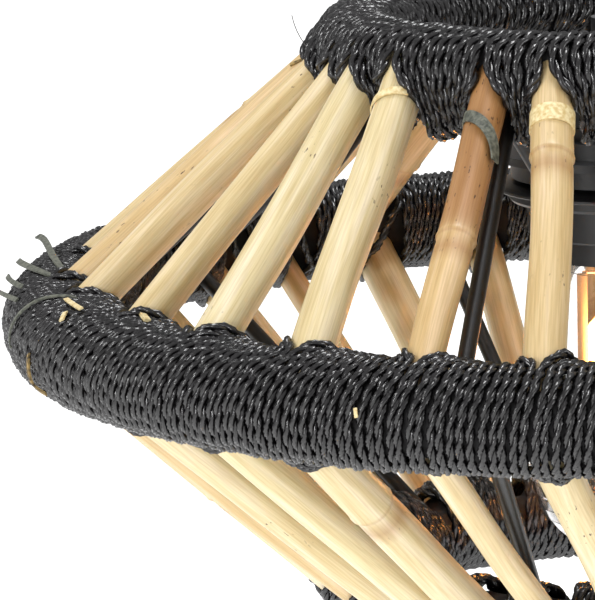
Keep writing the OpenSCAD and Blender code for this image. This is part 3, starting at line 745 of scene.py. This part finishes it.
for name, node_name, kind, width, thickness, places in ON_HOOPS:
    hoop_r, hoop_z, tube_r = BINDINGS[node_name][:3]
    azimuth, angle, lift = through(places)
    azimuth, angle = np.radians(azimuth), np.radians(angle)
    out_r = np.cos(angle)
    normals = np.stack([out_r * np.sin(azimuth), -out_r * np.cos(azimuth), np.sin(angle)], -1)
    ring = np.stack([np.sin(azimuth), -np.cos(azimuth), 0 * azimuth], -1) * hoop_r
    points = ring + (0, 0, hoop_z) + normals * (tube_r + lift * MM)[:, None]
    swept(name, points, normals, section_of(width * MM, thickness * MM), kind)

STRIP_THICKNESS = 0.4 * MM
ON_CANES = [  # name, node, cane, kind, width, (mm down the cane, angle round it, lift)
    ("straw_tie", "upper_canes_01", 0, "straw", 2.2,
     [(9, 200, 0.3), (9.5, 140, 0.5), (9, 90, 0.5), (7, 30, 0.5), (6, -20, 0.3)]),
    ("leaf_strip", "upper_canes_01", 1, "raffia", 3,
     [(10, 200, 0.3), (10.5, 150, 0.5), (13, 90, 0.6), (17, 40, 0.7), (23, 10, 1)]),
    ("straw_sheath", "upper_canes_01", 2, "straw", 5,
     [(9.5, 205, 0.3), (10, 140, 0.4), (10, 90, 0.4), (10, 40, 0.4), (9.5, -25, 0.3)]),
]
for name, node_name, number, kind, width, places in ON_CANES:
    (low, high), radius, joint_at = canes[node_name][number]
    down = (low - high) / np.linalg.norm(low - high)
    radial = np.array((high[0], high[1], 0)) / np.hypot(high[0], high[1])
    normal = radial * math.sin(upper_fall) + np.array((0, 0, math.cos(upper_fall)))
    normal -= down * (normal @ down)
    normal /= np.linalg.norm(normal)
    right = np.cross(down, normal)
    right *= np.sign(right @ (-radial[1], radial[0], 0))
    along, angle, lift = through(places)
    angle = np.radians(angle)
    normals = np.outer(np.cos(angle), right) + np.outer(np.sin(angle), normal)
    points = high + np.outer(along * MM, down) + normals * (radius + lift * MM)[:, None]
    swept(name, points, normals, section_of(width * MM, STRIP_THICKNESS), kind)

# Lampholder: a cap, a threaded skirt and two shade rings, moulded in black thermoplastic that
# keeps a faint satin bloom, with the cord grip on top and its contacts inside.
# Thermoplastic: the bloom varies over about 7 mm, and the mould's grain is 0.45 mm.
plastic, plastic_shader = new_material("moulded thermoplastic", Roughness=0.36)
plastic_tree = plastic.node_tree
plastic_place = add(plastic_tree, "ShaderNodeTexCoord")
bloom = add(plastic_tree, "ShaderNodeTexNoise", Vector=plastic_place.outputs["Object"], Scale=140,
            Detail=5)
grain = add(plastic_tree, "ShaderNodeTexNoise", Vector=plastic_place.outputs["Object"], Scale=2200,
            Detail=1)
plastic_tree.links.new(ramp(plastic_tree, bloom.outputs["Fac"], (0.3, "131315"), (0.75, "212124")),
                       plastic_shader.inputs["Base Color"])
plastic_bump = add(plastic_tree, "ShaderNodeBump", Strength=0.2, Distance=0.05 * MM,
                   Height=grain.outputs["Fac"])
plastic_tree.links.new(plastic_bump.outputs["Normal"], plastic_shader.inputs["Normal"])
for node_name in ("holder_cap", "cord_grip", "holder_skirt", "upper_shade_ring",
                  "lower_shade_ring"):
    finish_node(node_name, plastic)

# The contact block is a dull off-white ceramic, pressed and fired without a glaze.
steatite = new_material("unglazed steatite", Base_Color=colour("e6e1d2"), Roughness=0.75)[0]
finish_node("contact_block", steatite)


def metal(name, code, roughness, scale):
    """A plain metal with the fine marks of its tooling."""
    material, shader = new_material(name, Base_Color=colour(code), Metallic=1)
    t = material.node_tree
    where = add(t, "ShaderNodeTexCoord")
    marks = add(t, "ShaderNodeTexNoise", Vector=where.outputs["Object"], Scale=scale, Detail=4)
    rough = add(t, "ShaderNodeMapRange", Value=marks.outputs["Fac"], To_Min=roughness * 0.7,
                To_Max=roughness * 1.4)
    t.links.new(rough.outputs[0], shader.inputs["Roughness"])
    return material


# Nickel plate is a warm pale grey with a soft shine, and stamped brass a yellower one.
nickel = metal("nickel plate", "c9c3b6", 0.25, 600)
strip_brass = metal("stamped brass", "cfa75a", 0.3, 500)
for node_name in ("grip_screw", "screw_shell", "terminal_screws", "bulb_base", "bulb_tip",
                  "bulb_lead_wires"):
    finish_node(node_name, nickel)
for node_name in ("centre_contact", "side_contact"):
    finish_node(node_name, strip_brass)

# Bulb: a clear blown envelope on a nickel-plated screw base. Light filaments stand round a glass
# stem and glow warm, which lights the undersides of the cord and the inner sides of the canes.
# The insulator at the base's tip is black glass, and the filaments a matt coating that glows.
clear_glass = new_material("blown soda glass", Base_Color=(1, 1, 1, 1), Roughness=0.02,
                           Transmission_Weight=1, IOR=1.5)[0]
for node_name in ("bulb_glass", "bulb_stem"):
    finish_node(node_name, clear_glass)
vitrite = new_material("black vitrite", Base_Color=colour("0b0b0c"), Roughness=0.15)[0]
finish_node("bulb_insulator", vitrite)
phosphor = new_material("phosphor", Base_Color=colour("150d07"), Roughness=0.7,
                        Emission_Color=colour("d6a273"), Emission_Strength=0.6)[0]
finish_node("bulb_filaments", phosphor)
GLOW_POWER = 3.2
GLOW_WIDTH = 12 * MM
glow_low, glow_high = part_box("bulb_filaments")
glow = bpy.data.lights.new("glow", "POINT")
glow.energy = GLOW_POWER
glow.color = colour("ffa54f")[:3]
glow.shadow_soft_size = GLOW_WIDTH
glow_lamp = bpy.data.objects.new("glow", glow)
glow_lamp.location = (glow_low + glow_high) / 2
scene.collection.objects.link(glow_lamp)
